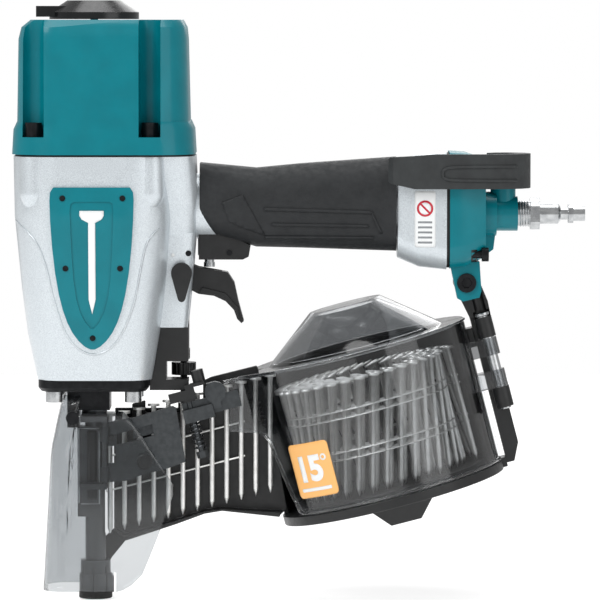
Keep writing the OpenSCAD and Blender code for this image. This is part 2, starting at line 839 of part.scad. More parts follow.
// One nail, hanging from the top of its head
module nail() {
    translate([0, 0, -1.2]) cylinder(h = 1.2, r = 3.1, $fn = 20);
    translate([0, 0, 3 - nail_len]) cylinder(h = nail_len - 3.5, r = 1.3, $fn = 16);
    translate([0, 0, -nail_len]) cylinder(h = 3.01, r1 = 0.3, r2 = 1.3, $fn = 16);
}

module nail_strip() {
    count = 10;
    color("silver") {
        for (i = [1:count])
            translate([i * nail_pitch, 0, strip_head_z + strip_rise(i * nail_pitch)]) nail();
        for (drop = [22, 40])
            translate([nail_pitch - 2, 0, strip_head_z - drop]) rotate([0, 90 - drum_tilt, 0])
                cylinder(h = (count - 1) * nail_pitch / cos(drum_tilt) + 4, r = 0.5, $fn = 16);
    }
}

// ---- Magazine ----

module half_space(side) {
    translate([-150, side > 0 ? 0.3 : -150.3, -50]) cube([300, 150, 200]);
}

module dome(r_grow, h_grow) {
    translate([0, 0, drum_h - 0.1]) cylinder(h = dome_h + h_grow, r1 = 47 + r_grow, r2 = 19 + r_grow);
}

module magazine_canister() {
    color("black") in_drum() difference() {
        union() {
            translate([0, 0, -5]) cylinder(h = 5, r = drum_r + 1);
            intersection() {
                difference() {
                    cylinder(h = drum_h, r = drum_r);
                    translate([0, 0, -1]) cylinder(h = drum_h - 1, r = drum_r - 2.6);
                    translate([0, 0, drum_h - 3]) cylinder(h = 4, r = 44.6);
                }
                half_space(1);
            }
            cylinder(h = 58, r = 8);
            hull() {
                translate([-5, -40, -15.5]) cube([16, 50, 1]);
                translate([-14, -44, -5]) cube([34, 62, 1]);
            }
            translate([drum_r - 3, 2, -5]) cube([6.5, 14, 5]);
            translate([drum_r - 2, 2, 60]) cube([5.5, 14, 10]);
        }
        translate([0, 0, -6]) cylinder(h = 70, r = 5);
    }
}

module nail_platform() {
    color("dimgray") in_drum() {
        difference() {
            union() {
                translate([0, 0, 0.4]) cylinder(h = 2.6, r = 51);
                cylinder(h = 30, r = 12);
            }
            translate([0, 0, -1]) cylinder(h = 40, r = 8.3);
            cylinder(h = 0.4, r = 13);
        }
    }
}

module nail_coil() {
    color("silver") in_drum() translate([0, 0, 3]) tube(nail_len, coil_r, 17);
}

// Plan of the cover's wall: round behind, then in to the throat
function cover_path(inset) = concat(
    [for (i = [0:24]) let (a = 359.2 - 144.2 * i / 24, r = drum_r - inset) [r * cos(a), r * sin(a)]],
    [[-61, -17 + inset], [-86, -15 + inset]]);

function reversed(list) = [for (i = [len(list) - 1:-1:0]) list[i]];

module cover_wall(grow_h = 0) {
    linear_extrude(drum_h + grow_h)
        polygon(concat(cover_path(0), reversed(cover_path(drum_wall))));
}

module cover_roof() {
    translate([0, 0, drum_h - 2]) linear_extrude(2) polygon(concat(cover_path(0),
        [[-86, -4.4], [-51, -4.4], [-49.5, -0.81]]));
}

module magazine_cover() {
    color("lightsteelblue", 0.45) difference() {
        union() {
            in_drum() {
                translate([0, 0, 0.4]) cover_wall(-0.5);
                difference() {
                    union() {
                        cover_roof();
                        difference() {
                            dome(0, 0);
                            translate([-60, -0.7, 70]) cube([120, 60, drum_h + 0.3 - 70]);
                        }
                    }
                    dome(-2.2, -2.2);
                    translate([0, 0, drum_h - 3]) cylinder(h = 4, r = 44.8);
                }
                difference() {
                    for (w = cover_knuckles) translate([54, -10.4, w]) cube([hinge_u - 54, 8.8, 9]);
                    cylinder(h = 90, r = drum_r - 0.5);
                }
                for (w = cover_knuckles) translate([hinge_u, -6, w]) cylinder(h = 9, r = 4.4);
            }
        }
        in_drum() translate([hinge_u, -6, 0]) cylinder(h = 100, r = hinge_r + 0.05);
        in_drum() translate([0, 0, -1]) cylinder(h = 20, r = 5);
        side_plate([[40, 20], [106.5, 20], [106.5, 49.5], [104, 53], [91, 84], [88, 87], [40, 88]], -60, 20);
        side_plate([[50, 80], [70, 80], [70, 140], [50, 140]], -60, 20);
    }
}

module hinge_pin() {
    color("silver") in_drum() translate([hinge_u, -6, arm_knuckles[0] - 1]) {
        cylinder(h = 50, r = hinge_r);
        translate([0, 0, 49.9]) cylinder(h = 1.6, r = 4);
    }
}

module magazine_arm() {
    color("black") difference() {
        union() {
            in_drum() {
                translate([0, 15.2, 0]) rotate([90, 0, 0]) linear_extrude(13)
                    polygon([[61.5, -3], [65.5, -3], [69.8, 6], [69.8, 83], [61.5, 83]]);
                for (w = arm_knuckles) {
                    translate([hinge_u, -6, w]) cylinder(h = 10.7, r = 4.6);
                    translate([hinge_u - 4, -5, w]) cube([8, 9, 10.7]);
                }
            }
            side_plate([[195, 146], [206, 147], [204.3, 155], [199.6, 166], [192.8, 170], [187.2, 165.5],
                [190, 156]], 1.8, 14);
            rod_y(192.8, -1.6, 165.1, 13, 6.4);
        }
        in_drum() translate([hinge_u, -6, 0]) cylinder(h = 100, r = hinge_r + 0.02);
        in_drum() translate([hinge_u, -6, arm_knuckles[1] + 10.8]) cylinder(h = 3.4, r = 4.3);
        rod_y(192.8, -10, 165.1, 40, 2.55);
    }
}

module arm_bolts() {
    color("dimgray") {
        translate([192.8, -14, 165.1]) rotate([90, 0, 0]) socket_screw(5, 2, 2.5, 26);
    }
}

deflector();
deflector_screw();
head_cover();
head_bolts();
head_gasket();
head_valve();
head_valve_spring();
main_housing();
cylinder_sleeve();  // cylinder
cylinder_seal();
piston();
driver_blade();
bumper();
name_plate();
name_plate_screws();
housing_pins();
grip_sleeve();
end_cap();
end_cap_gasket();
end_cap_bolts();
air_plug();
rafter_hook();
hook_bolt();
trigger_bracket();
trigger();
selector_shaft();
mode_selector();
valve_body();
valve_stem();
valve_spring();
nose_flange();
nose_guide();
nose_bolts();
contact_tip();
contact_foot();
contact_arm();
contact_link();
contact_spring();
depth_block();
depth_wheel();
chip_shield();
shield_flap();
shield_screws();
feed_cylinder();
feed_piston();
feed_pawl();
feed_door();
door_pin();
door_latch();
latch_bracket();
latch_spring();
feed_track();
nail_strip();
magazine_canister();
nail_platform();
nail_coil();
magazine_cover();
hinge_pin();
magazine_arm();
arm_bolts();
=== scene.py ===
import json
import math

import bmesh
import bpy
from mathutils import Matrix, Vector


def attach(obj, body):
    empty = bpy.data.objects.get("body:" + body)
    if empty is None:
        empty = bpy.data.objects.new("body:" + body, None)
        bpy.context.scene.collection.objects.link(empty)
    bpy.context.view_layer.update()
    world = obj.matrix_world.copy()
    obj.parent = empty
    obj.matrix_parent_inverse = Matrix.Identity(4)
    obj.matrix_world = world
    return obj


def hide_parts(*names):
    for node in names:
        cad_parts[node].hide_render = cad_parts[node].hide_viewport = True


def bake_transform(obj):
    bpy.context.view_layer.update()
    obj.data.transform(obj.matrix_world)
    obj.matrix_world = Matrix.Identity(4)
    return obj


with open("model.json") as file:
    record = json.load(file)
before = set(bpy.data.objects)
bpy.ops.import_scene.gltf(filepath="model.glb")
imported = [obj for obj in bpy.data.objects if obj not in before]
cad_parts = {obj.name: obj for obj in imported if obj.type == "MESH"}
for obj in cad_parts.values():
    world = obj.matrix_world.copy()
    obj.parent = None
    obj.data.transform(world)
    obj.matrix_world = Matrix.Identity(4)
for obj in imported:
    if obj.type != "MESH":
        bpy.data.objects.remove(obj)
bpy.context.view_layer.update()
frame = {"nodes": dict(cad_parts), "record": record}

MM = 0.001


# ---------------------------------------------------------------- materials

def srgb(code):
    """Linear colour of an sRGB hex code."""
    channels = [int(code[i:i + 2], 16) / 255 for i in (1, 3, 5)]
    return [c / 12.92 if c <= 0.04045 else ((c + 0.055) / 1.055) ** 2.4 for c in channels] + [1.0]


def add_node(tree, kind, settings=None, values=None, links=None):
    """Adds a node, with its settings, its socket values and the links that feed it."""
    node = tree.nodes.new(kind)
    for name, value in (settings or {}).items():
        setattr(node, name, value)
    for socket, value in (values or {}).items():
        node.inputs[socket].default_value = value
    for socket, source in (links or {}).items():
        tree.links.new(source, node.inputs[socket])
    return node


def start_material(name):
    """An empty material with its surface shader and object coordinates."""
    mat = bpy.data.materials.new(name)
    mat.use_nodes = True
    tree = mat.node_tree
    tree.nodes.clear()
    surface = add_node(tree, "ShaderNodeBsdfPrincipled")
    add_node(tree, "ShaderNodeOutputMaterial", links={"Surface": surface.outputs["BSDF"]})
    place = add_node(tree, "ShaderNodeTexCoord").outputs["Object"]
    return mat, tree, surface, place


def grain(tree, place, size_mm, detail=3.0):
    """Noise whose blotches are about size_mm across."""
    return add_node(tree, "ShaderNodeTexNoise", values={"Scale": 1 / (size_mm * MM), "Detail": detail},
                    links={"Vector": place}).outputs["Fac"]


def remap(tree, source, low, high, from_min=0.3, from_max=0.7):
    """A value between low and high that follows a pattern."""
    return add_node(tree, "ShaderNodeMapRange",
                    values={"From Min": from_min, "From Max": from_max, "To Min": low, "To Max": high},
                    links={"Value": source}).outputs["Result"]


def two_tone(tree, source, first, second, start=0.35, end=0.65):
    """A colour that runs from first to second along a pattern."""
    ramp = add_node(tree, "ShaderNodeValToRGB", links={"Fac": source})
    ramp.color_ramp.elements[0].position = start
    ramp.color_ramp.elements[1].position = end
    ramp.color_ramp.elements[0].color = srgb(first)
    ramp.color_ramp.elements[1].color = srgb(second)
    return ramp.outputs["Color"]


def raise_surface(tree, surface, height, depth_mm, strength=1.0):
    """Bump of a real depth on the shader's normal."""
    bump = add_node(tree, "ShaderNodeBump", values={"Strength": strength, "Distance": depth_mm * MM},
                    links={"Height": height})
    tree.links.new(bump.outputs["Normal"], surface.inputs["Normal"])


def set_values(surface, values):
    """Sets constants on the shader's own sockets."""
    for socket, value in values.items():
        surface.inputs[socket].default_value = value


def powder_coat(name, light, dark):
    """Glossy powder coat on cast aluminium: a clear film with a faint orange-peel ripple."""
    mat, tree, surface, place = start_material(name)
    blotch = grain(tree, place, 14.0)
    peel = grain(tree, place, 1.6, 1.0)
    tree.links.new(two_tone(tree, blotch, dark, light), surface.inputs["Base Color"])
    tree.links.new(remap(tree, grain(tree, place, 5.0), 0.3, 0.38), surface.inputs["Roughness"])
    set_values(surface, {"Coat Weight": 0.2, "Coat Roughness": 0.1, "Specular IOR Level": 0.2})
    raise_surface(tree, surface, peel, 0.02, 0.5)
    return mat


def pearl_paint():
    """Silver pearl paint: fine bright flakes under a satin film."""
    mat, tree, surface, place = start_material("pearl_silver_paint")
    flake = grain(tree, place, 0.35, 2.0)
    tree.links.new(two_tone(tree, flake, "#c3cacf", "#dde4e8", 0.4, 0.6), surface.inputs["Base Color"])
    tree.links.new(remap(tree, grain(tree, place, 6.0), 0.3, 0.4), surface.inputs["Roughness"])
    set_values(surface, {"Metallic": 0.5, "Coat Weight": 0.3, "Coat Roughness": 0.15})
    raise_surface(tree, surface, grain(tree, place, 1.8, 1.0), 0.015, 0.5)
    return mat


def moulded_rubber(name, light, dark, depth_mm=0.08):
    """Moulded elastomer: matt, with the fine pebble of a spark-eroded mould."""
    mat, tree, surface, place = start_material(name)
    pebble = add_node(tree, "ShaderNodeTexVoronoi", values={"Scale": 1 / (0.8 * MM)},
                      links={"Vector": place}).outputs["Distance"]
    tree.links.new(two_tone(tree, grain(tree, place, 9.0), dark, light), surface.inputs["Base Color"])
    tree.links.new(remap(tree, grain(tree, place, 3.0), 0.55, 0.72), surface.inputs["Roughness"])
    set_values(surface, {"Specular IOR Level": 0.4})
    raise_surface(tree, surface, pebble, depth_mm, 0.5)
    return mat


def moulded_nylon(name, light, dark, low=0.32, high=0.48):
    """Glass-filled nylon: near black, semi-matt, with faint flow marks and scuffs."""
    mat, tree, surface, place = start_material(name)
    tree.links.new(two_tone(tree, grain(tree, place, 7.0), dark, light), surface.inputs["Base Color"])
    tree.links.new(remap(tree, grain(tree, place, 2.5), low, high), surface.inputs["Roughness"])
    raise_surface(tree, surface, grain(tree, place, 0.6, 2.0), 0.03, 0.5)
    return mat


def machined_metal(name, light, dark, low=0.2, high=0.38, stretch=(1, 1, 12)):
    """Bare metal: turned or drawn, with fine tool lines along one way."""
    mat, tree, surface, place = start_material(name)
    turned = add_node(tree, "ShaderNodeMapping", values={"Scale": stretch},
                      links={"Vector": place}).outputs["Vector"]
    lines = grain(tree, turned, 1.2, 4.0)
    tree.links.new(two_tone(tree, grain(tree, place, 4.0), dark, light), surface.inputs["Base Color"])
    tree.links.new(remap(tree, lines, low, high), surface.inputs["Roughness"])
    set_values(surface, {"Metallic": 1.0})
    raise_surface(tree, surface, lines, 0.01, 0.4)
    return mat


def black_oxide(name, light="#232426", dark="#1a1b1d"):
    """Black-oxide steel: thin dark film over metal, rubbed lighter in blotches."""
    mat, tree, surface, place = start_material(name)
    tree.links.new(two_tone(tree, grain(tree, place, 2.6), dark, light), surface.inputs["Base Color"])
    tree.links.new(remap(tree, grain(tree, place, 1.4), 0.3, 0.5), surface.inputs["Roughness"])
    set_values(surface, {"Metallic": 0.75})
    raise_surface(tree, surface, grain(tree, place, 0.5, 2.0), 0.015, 0.5)
    return mat


def clear_polycarbonate(name, tint, rough):
    """Smoked clear polycarbonate: moulded glass-clear, with a slight haze and a glossy outer skin.

    A thin wall hardly shifts what is behind it, so the body bends light little and the skin carries the gloss.
    """
    mat, tree, surface, place = start_material(name)
    set_values(surface, {"Base Color": srgb(tint), "Transmission Weight": 1.0, "IOR": 1.04,
                         "Coat Weight": 1.0, "Coat IOR": 1.5, "Coat Roughness": 0.06})
    tree.links.new(remap(tree, grain(tree, place, 8.0), rough, rough + 0.05), surface.inputs["Roughness"])
    raise_surface(tree, surface, grain(tree, place, 22.0, 1.0), 0.1, 0.3)
    return mat


def printed_film(name, code, rough=0.4):
    """Printed polyester label film: flat ink under a satin laminate."""
    mat, tree, surface, place = start_material(name)
    set_values(surface, {"Base Color": srgb(code)})
    sheen = remap(tree, grain(tree, place, 3.0), rough - 0.05, rough + 0.05)
    tree.links.new(sheen, surface.inputs["Roughness"])
    raise_surface(tree, surface, grain(tree, place, 0.7, 1.0), 0.008, 0.4)
    return mat


TEAL = powder_coat("teal_powder_coat", "#007884", "#00727e")
PEARL = pearl_paint()
GRIP = moulded_rubber("charcoal_grip_rubber", "#242628", "#1e2022")
HOOK = moulded_rubber("hook_rubber", "#323536", "#2b2d2e", 0.02)
SEAL = moulded_rubber("black_nitrile", "#151515", "#0d0d0d", 0.02)
BLACK = moulded_nylon("black_nylon", "#161718", "#0f1011")
GLOSS = moulded_nylon("black_gloss_nylon", "#121314", "#0b0c0d", 0.18, 0.28)
OXIDE = black_oxide("black_oxide_steel")
DOOR = black_oxide("dark_phosphate_steel", "#4b4e50", "#414446")
NOSE = machined_metal("hardened_nose_steel", "#5c5e60", "#505254", 0.28, 0.42)
PLATED = machined_metal("plated_steel", "#c9cbcc", "#aeb0b2", 0.14, 0.28, (1, 12, 12))
NAIL = machined_metal("bright_nail_wire", "#fafaf8", "#ebebe9", 0.4, 0.52)
SPRING = machined_metal("spring_wire", "#4d4f52", "#303234", 0.25, 0.4, (1, 1, 1))
ALLOY = machined_metal("machined_aluminium", "#c2c5c7", "#a7aaac", 0.3, 0.45, (1, 1, 1))
URETHANE = moulded_rubber("amber_urethane", "#8a4a18", "#6e3910", 0.02)
CLEAR = clear_polycarbonate("smoked_polycarbonate", "#c6c8ca", 0.02)
RIM = clear_polycarbonate("clear_rim_bead", "#f0f2f3", 0.02)
GUARD = clear_polycarbonate("clear_guard_vinyl", "#c6c9cb", 0.05)

FINISHES = {
    "teal_paint": TEAL, "pearl_paint": PEARL, "black_plastic": BLACK, "grip_rubber": GRIP,
    "seal_rubber": SEAL, "urethane": URETHANE, "black_steel": OXIDE, "nose_steel": NOSE,
    "bright_steel": PLATED, "nail_wire": NAIL, "spring_wire": SPRING, "alloy": ALLOY,
    "smoke_clear": CLEAR,
}
OWN_FINISH = {"deflector": GLOSS, "rafter_hook": HOOK, "feed_door": DOOR, "latch_bracket": DOOR,
              "chip_shield": GUARD, "shield_flap": GUARD, "contact_foot": SEAL}


def dress_cad_nodes():
    """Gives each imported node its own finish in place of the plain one."""
    slot_of = {row["node"]: row["material_slot"] for row in frame["record"]["subparts"]}
    for name, node in frame["nodes"].items():
        finish = OWN_FINISH.get(name, FINISHES[slot_of[name]])
        node.data.materials.clear()
        node.data.materials.append(finish)
        node.visible_shadow = finish not in (CLEAR, GUARD)


dress_cad_nodes()


# ---------------------------------------------------------------- modelling helpers

def only(obj):
    """Selects one object alone and makes it active."""
    bpy.ops.object.select_all(action="DESELECT")
    obj.select_set(True)
    bpy.context.view_layer.objects.active = obj


def apply_modifiers(obj):
    """Applies all of an object's modifiers in turn."""
    only(obj)
    for modifier in list(obj.modifiers):
        bpy.ops.object.modifier_apply(modifier=modifier.name)


def settle(obj):
    """Moves an object's place into its mesh, so that the object sits at the origin."""
    only(obj)
    bpy.ops.object.transform_apply(location=True, rotation=True, scale=True)


def finish_piece(obj, name, body, finish):
    """Names a piece, gives it its material, and lets it ride on a body."""
    obj.name = name
    obj.data.materials.clear()
    obj.data.materials.append(finish)
    obj.data.polygons.foreach_set("use_smooth", [True] * len(obj.data.polygons))
    if body:
        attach(obj, body)
    return obj


def join(objects):
    """Joins objects into the first one."""
    bpy.ops.object.select_all(action="DESELECT")
    for obj in objects:
        obj.select_set(True)
    bpy.context.view_layer.objects.active = objects[0]
    bpy.ops.object.join()
    return bpy.context.object


def soften(name, width_mm, segments=2, limit_deg=32):
    """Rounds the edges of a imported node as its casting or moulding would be."""
    node = frame["nodes"][name]
    node.data.polygons.foreach_set("use_smooth", [True] * len(node.data.polygons))
    weld = node.modifiers.new("weld", "WELD")
    weld.merge_threshold = 0.00002
    flat = node.modifiers.new("flats", "DECIMATE")
    flat.decimate_type = "DISSOLVE"
    flat.angle_limit = math.radians(0.6)
    edge = node.modifiers.new("edge", "BEVEL")
    edge.width = width_mm * MM
    edge.segments = segments
    edge.limit_method = "ANGLE"
    edge.angle_limit = math.radians(limit_deg)
    edge.harden_normals = True
    edge.use_clamp_overlap = True
    normals = node.modifiers.new("normals", "WEIGHTED_NORMAL")
    normals.keep_sharp = True


def flat_shape(points):
    """A flat face in the XZ plane from an outline in millimetres."""
    bpy.ops.object.select_all(action="DESELECT")
    mesh = bpy.data.meshes.new("outline")
    shape = bpy.data.objects.new("outline", mesh)
    bpy.context.collection.objects.link(shape)
    sketch = bmesh.new()
    sketch.faces.new([sketch.verts.new((x * MM, 0, z * MM)) for x, z in points])
    sketch.to_mesh(mesh)
    sketch.free()
    return shape


def grid_cut(shape, step_mm):
    """Cuts a flat shape into a grid, so that it can follow a curved surface."""
    only(shape)
    xs = [v.co.x for v in shape.data.vertices]
    zs = [v.co.z for v in shape.data.vertices]
    bpy.ops.object.mode_set(mode="EDIT")
    for low, high, along in ((min(xs), max(xs), 0), (min(zs), max(zs), 2)):
        count = int((high - low) / (step_mm * MM))
        for i in range(1, count + 1):
            place = [0, 0, 0]
            normal = [0, 0, 0]
            place[along] = low + (high - low) * i / (count + 1)
            normal[along] = 1
            bpy.ops.mesh.select_all(action="SELECT")
            bpy.ops.mesh.bisect(plane_co=place, plane_no=normal)
    bpy.ops.object.mode_set(mode="OBJECT")


NEAR_OF_ALL_MM = -90
LIFT_MM = 0.02


def lay_on(shape, node, thick_mm, step_mm=2.0):
    """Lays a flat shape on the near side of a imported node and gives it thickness."""
    grid_cut(shape, step_mm)
    shape.data.transform(Matrix.Translation((0, NEAR_OF_ALL_MM * MM, 0)))
    wrap = shape.modifiers.new("wrap", "SHRINKWRAP")
    wrap.target = frame["nodes"][node]
    wrap.wrap_method = "PROJECT"
    wrap.use_project_y = True
    wrap.use_positive_direction = True
    wrap.use_negative_direction = False
    wrap.offset = LIFT_MM * MM
    apply_modifiers(shape)
    only(shape)
    bpy.ops.object.mode_set(mode="EDIT")
    bpy.ops.mesh.select_all(action="SELECT")
    bpy.ops.mesh.normals_make_consistent(inside=False)
    bpy.ops.object.mode_set(mode="OBJECT")
    if sum(p.normal.y for p in shape.data.polygons) > 0:
        shape.data.flip_normals()
    body = shape.modifiers.new("body", "SOLIDIFY")
    body.thickness = thick_mm * MM
    body.offset = 1.0
    apply_modifiers(shape)
    return shape


def band(points, width_mm):
    """The outline of a line of a given width along some points."""
    left, right = [], []
    for i, (x, z) in enumerate(points):
        before = points[max(i - 1, 0)]
        after = points[min(i + 1, len(points) - 1)]
        dx, dz = after[0] - before[0], after[1] - before[1]
        size = math.hypot(dx, dz)
        nx, nz = -dz / size * width_mm / 2, dx / size * width_mm / 2
        left.append((x + nx, z + nz))
        right.append((x - nx, z - nz))
    return left + right[::-1]


def disc(x, z, radius, count=32):
    """The outline of a round spot."""
    return [(x + radius * math.cos(math.tau * i / count), z + radius * math.sin(math.tau * i / count))
            for i in range(count)]


# ---------------------------------------------------------------- drum

DRUM_TILT = math.radians(14.5)
DRUM_CENTRE = Vector((154.7, 8.0, 57.2)) * MM
DRUM_RADIUS = 58.0
TO_DRUM = Matrix.Translation(DRUM_CENTRE) @ Matrix.Rotation(-DRUM_TILT, 4, "Y")

NAIL_LENGTH = 62.0
NAIL_PITCH = 7.6
STRIP_HEAD_Z = 95.6
HEAD_RADIUS = 3.1
SHANK_RADIUS = 1.35


def make_nail():
    """One wire nail, point at the origin and head up: a shank with a flat head and a cut point."""
    bpy.ops.object.select_all(action="DESELECT")
    bpy.ops.mesh.primitive_cylinder_add(vertices=10, radius=SHANK_RADIUS * MM, depth=(NAIL_LENGTH - 4) * MM,
                                        location=(0, 0, (NAIL_LENGTH - 4) / 2 * MM + 4 * MM))
    nail = bpy.context.object
    settle(nail)
    bpy.ops.object.mode_set(mode="EDIT")
    bpy.ops.mesh.select_all(action="DESELECT")
    bpy.ops.object.mode_set(mode="OBJECT")
    for face in nail.data.polygons:
        face.select = abs(face.normal.z) > 0.9
    bpy.ops.object.mode_set(mode="EDIT")
    bpy.ops.mesh.select_mode(type="FACE")
    bpy.ops.mesh.delete(type="ONLY_FACE")
    bpy.ops.object.mode_set(mode="OBJECT")
    rim_low = [v.index for v in nail.data.vertices if v.co.z < 5 * MM]
    pull_rim(nail, rim_low, 0.0, 0.12)
    rim_high = [v.index for v in nail.data.vertices if v.co.z > (NAIL_LENGTH - 1) * MM]
    pull_rim(nail, rim_high, NAIL_LENGTH - 1.6, 1.0, slide=True)
    rim_high = [v.index for v in nail.data.vertices if v.co.z > (NAIL_LENGTH - 2) * MM]
    pull_rim(nail, rim_high, NAIL_LENGTH - 1.2, HEAD_RADIUS / SHANK_RADIUS)
    top = [v.index for v in nail.data.vertices if v.co.z > (NAIL_LENGTH - 1.3) * MM]
    pull_rim(nail, top, NAIL_LENGTH, 1.0)
    only(nail)
    bpy.ops.object.mode_set(mode="EDIT")
    bpy.ops.mesh.select_all(action="SELECT")
    bpy.ops.mesh.select_mode(type="EDGE")
    bpy.ops.mesh.select_all(action="DESELECT")
    bpy.ops.mesh.select_non_manifold()
    bpy.ops.mesh.edge_face_add()
    bpy.ops.mesh.select_all(action="SELECT")
    bpy.ops.mesh.normals_make_consistent(inside=False)
    bpy.ops.object.mode_set(mode="OBJECT")
    return nail


def pull_rim(obj, indices, height_mm, ratio, slide=False):
    """Extrudes an open rim to a new height and width, or only slides it there."""
    only(obj)
    bpy.ops.object.mode_set(mode="EDIT")
    bpy.ops.mesh.select_mode(type="VERT")
    bpy.ops.mesh.select_all(action="DESELECT")
    bpy.ops.object.mode_set(mode="OBJECT")
    for i in indices:
        obj.data.vertices[i].select = True
    old = obj.data.vertices[indices[0]].co.z
    bpy.ops.object.mode_set(mode="EDIT")
    if not slide:
        bpy.ops.mesh.extrude_region_move()
    bpy.ops.transform.translate(value=(0, 0, height_mm * MM - old))
    bpy.ops.transform.resize(value=(ratio, ratio, 1), center_override=(0, 0, height_mm * MM))
    bpy.ops.object.mode_set(mode="OBJECT")


def copy_mesh_at(source, matrices):
    """One mesh object holding a copy of the source at each place."""
    gathered = bmesh.new()
    for matrix in matrices:
        before = len(gathered.verts)
        gathered.from_mesh(source.data)
        gathered.verts.ensure_lookup_table()
        bmesh.ops.transform(gathered, matrix=matrix, verts=gathered.verts[before:])
    mesh = bpy.data.meshes.new("copies")
    gathered.to_mesh(mesh)
    gathered.free()
    obj = bpy.data.objects.new("copies", mesh)
    bpy.context.collection.objects.link(obj)
    return obj


def wire_through(points, radius_mm):
    """Round wire along points in metres."""
    curve = bpy.data.curves.new("wire", "CURVE")
    curve.dimensions = "3D"
    curve.bevel_depth = radius_mm * MM
    curve.bevel_resolution = 1
    curve.use_fill_caps = True
    spline = curve.splines.new("POLY")
    spline.points.add(len(points) - 1)
    for point, place in zip(spline.points, points):
        point.co = (*place, 1)
    wire = bpy.data.objects.new("wire", curve)
    bpy.context.collection.objects.link(wire)
    only(wire)
    bpy.ops.object.convert(target="MESH")
    return bpy.context.object


def make_nail_coil(nail):
    """The loaded coil: nails on a spiral, each leaning along the turn, wired on both sides at four heights."""
    outer, inner, turn_gap = 46.4, 22.0, 6.5
    base, foot_back = 3.4, 7.5
    wire_offset, wire_radius = 1.45, 0.4
    angle, places, centres = 0.0, [], []
    radius = outer
    while radius > inner:
        along = Vector((-math.sin(angle), math.cos(angle), 0))
        lean = Matrix.Rotation(DRUM_TILT, 4, Vector((0, 0, 1)).cross(along))
        foot = Vector((radius * math.cos(angle), radius * math.sin(angle), base)) * MM
        places.append(TO_DRUM @ Matrix.Translation(foot - along * foot_back * MM) @ lean)
        centres.append((radius, angle))
        angle += NAIL_PITCH / radius
        radius = outer - turn_gap * angle / math.tau
    coil = copy_mesh_at(nail, places)
    wires = []
    for height in (20, 24, 41, 45):
        for side in (-1, 1):
            path = []
            for r, a in centres:
                reach = r + side * wire_offset
                path.append(TO_DRUM @ (Vector((reach * math.cos(a), reach * math.sin(a), base + height)) * MM))
            wires.append(wire_through(path, wire_radius))
    coil = join([coil] + wires)
    finish_piece(coil, "nail_coil_wound", "platform", NAIL)
    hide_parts("nail_coil")


def make_bridge_nails(nail):
    """The nails between the coil and the strip in the track."""
    places = []
    for i, side in ((11, -1.5), (12, -3.5)):
        x = i * NAIL_PITCH
        rise = (x - NAIL_PITCH) * math.tan(DRUM_TILT)
        places.append(Matrix.Translation(Vector((x, side, STRIP_HEAD_Z + rise - NAIL_LENGTH)) * MM))
    finish_piece(copy_mesh_at(nail, places), "bridge_nails", "tool", NAIL)


def wrap_on_drum(obj, radius_mm, depth_mm):
    """Bends a flat shape drawn in drum widths and heights (XZ) round the near side of the drum."""
    for vertex in obj.data.vertices:
        angle = vertex.co.x / (radius_mm * MM)
        reach = (radius_mm + depth_mm) * MM - vertex.co.y
        vertex.co = TO_DRUM @ Vector((reach * math.cos(angle), reach * math.sin(angle), vertex.co.z))


def rounded_rectangle(x0, x1, z0, z1, radius, steps=6):
    """The outline of a rectangle with round corners."""
    corners = ((x1 - radius, z1 - radius, 0), (x0 + radius, z1 - radius, 90),
               (x0 + radius, z0 + radius, 180), (x1 - radius, z0 + radius, 270))
    return [(cx + radius * math.cos(math.radians(a + 90 * i / steps)),
             cz + radius * math.sin(math.radians(a + 90 * i / steps)))
            for cx, cz, a in corners for i in range(steps + 1)]


def number_shape(text, height_mm, centre_x, centre_z):
    """A number cut from flat film, from the built-in font."""
    bpy.ops.object.select_all(action="DESELECT")
    bpy.ops.object.text_add(location=(0, 0, 0))
    label = bpy.context.object
    label.data.body = text
    label.data.size = height_mm * MM / 0.7
    label.data.align_x = "CENTER"
    label.data.offset = 0.0008
    bpy.ops.object.convert(target="MESH")
    label = bpy.context.object
    label.data.transform(Matrix.Rotation(math.pi / 2, 4, "X"))
    label.data.transform(Matrix.Translation((centre_x * MM, 0, centre_z * MM)))
    return label


def thicken(shape, thick_mm):
    """Turns a flat shape into a thin sheet, with half the thickness on each side."""
    body = shape.modifiers.new("body", "SOLIDIFY")
    body.thickness = thick_mm * MM
    body.offset = 0.0
    apply_modifiers(shape)


def make_cover_label():
    """The square film on the clear cover, with the collation angle on it."""
    middle = math.radians(229.9) * DRUM_RADIUS
    film = flat_shape(rounded_rectangle(middle - 13.4, middle + 13.4, 9, 37.5, 2.4))
    grid_cut(film, 1.5)
    thicken(film, 0.12)
    wrap_on_drum(film, DRUM_RADIUS, 0.12)
    finish_piece(film, "cover_label", "cover", ORANGE)
    number = number_shape("15", 12.5, middle - 1.5, 18.0)
    ring = flat_shape(disc(middle + 9.0, 29.0, 1.8, 20))
    hole = flat_shape(disc(middle + 9.0, 29.0, 0.9, 20))
    stripe = flat_shape(rounded_rectangle(middle - 10, middle + 10, 12.2, 14.0, 0.6))
    marks = ((number, WHITE, 0.3), (ring, WHITE, 0.3), (hole, ORANGE, 0.42), (stripe, WHITE, 0.3))
    for index, (mark, finish, depth) in enumerate(marks):
        grid_cut(mark, 1.5)
        thicken(mark, 0.1)
        wrap_on_drum(mark, DRUM_RADIUS, depth)
        finish_piece(mark, f"cover_label_mark_{index + 1}", "cover", finish)


# ---------------------------------------------------------------- badge, labels and grip relief

def mark_on(node, outline, name, body, finish, thick_mm, step_mm=2.0):
    """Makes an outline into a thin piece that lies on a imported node."""
    shape = lay_on(flat_shape(outline), node, thick_mm, step_mm)
    return finish_piece(shape, name, body, finish)


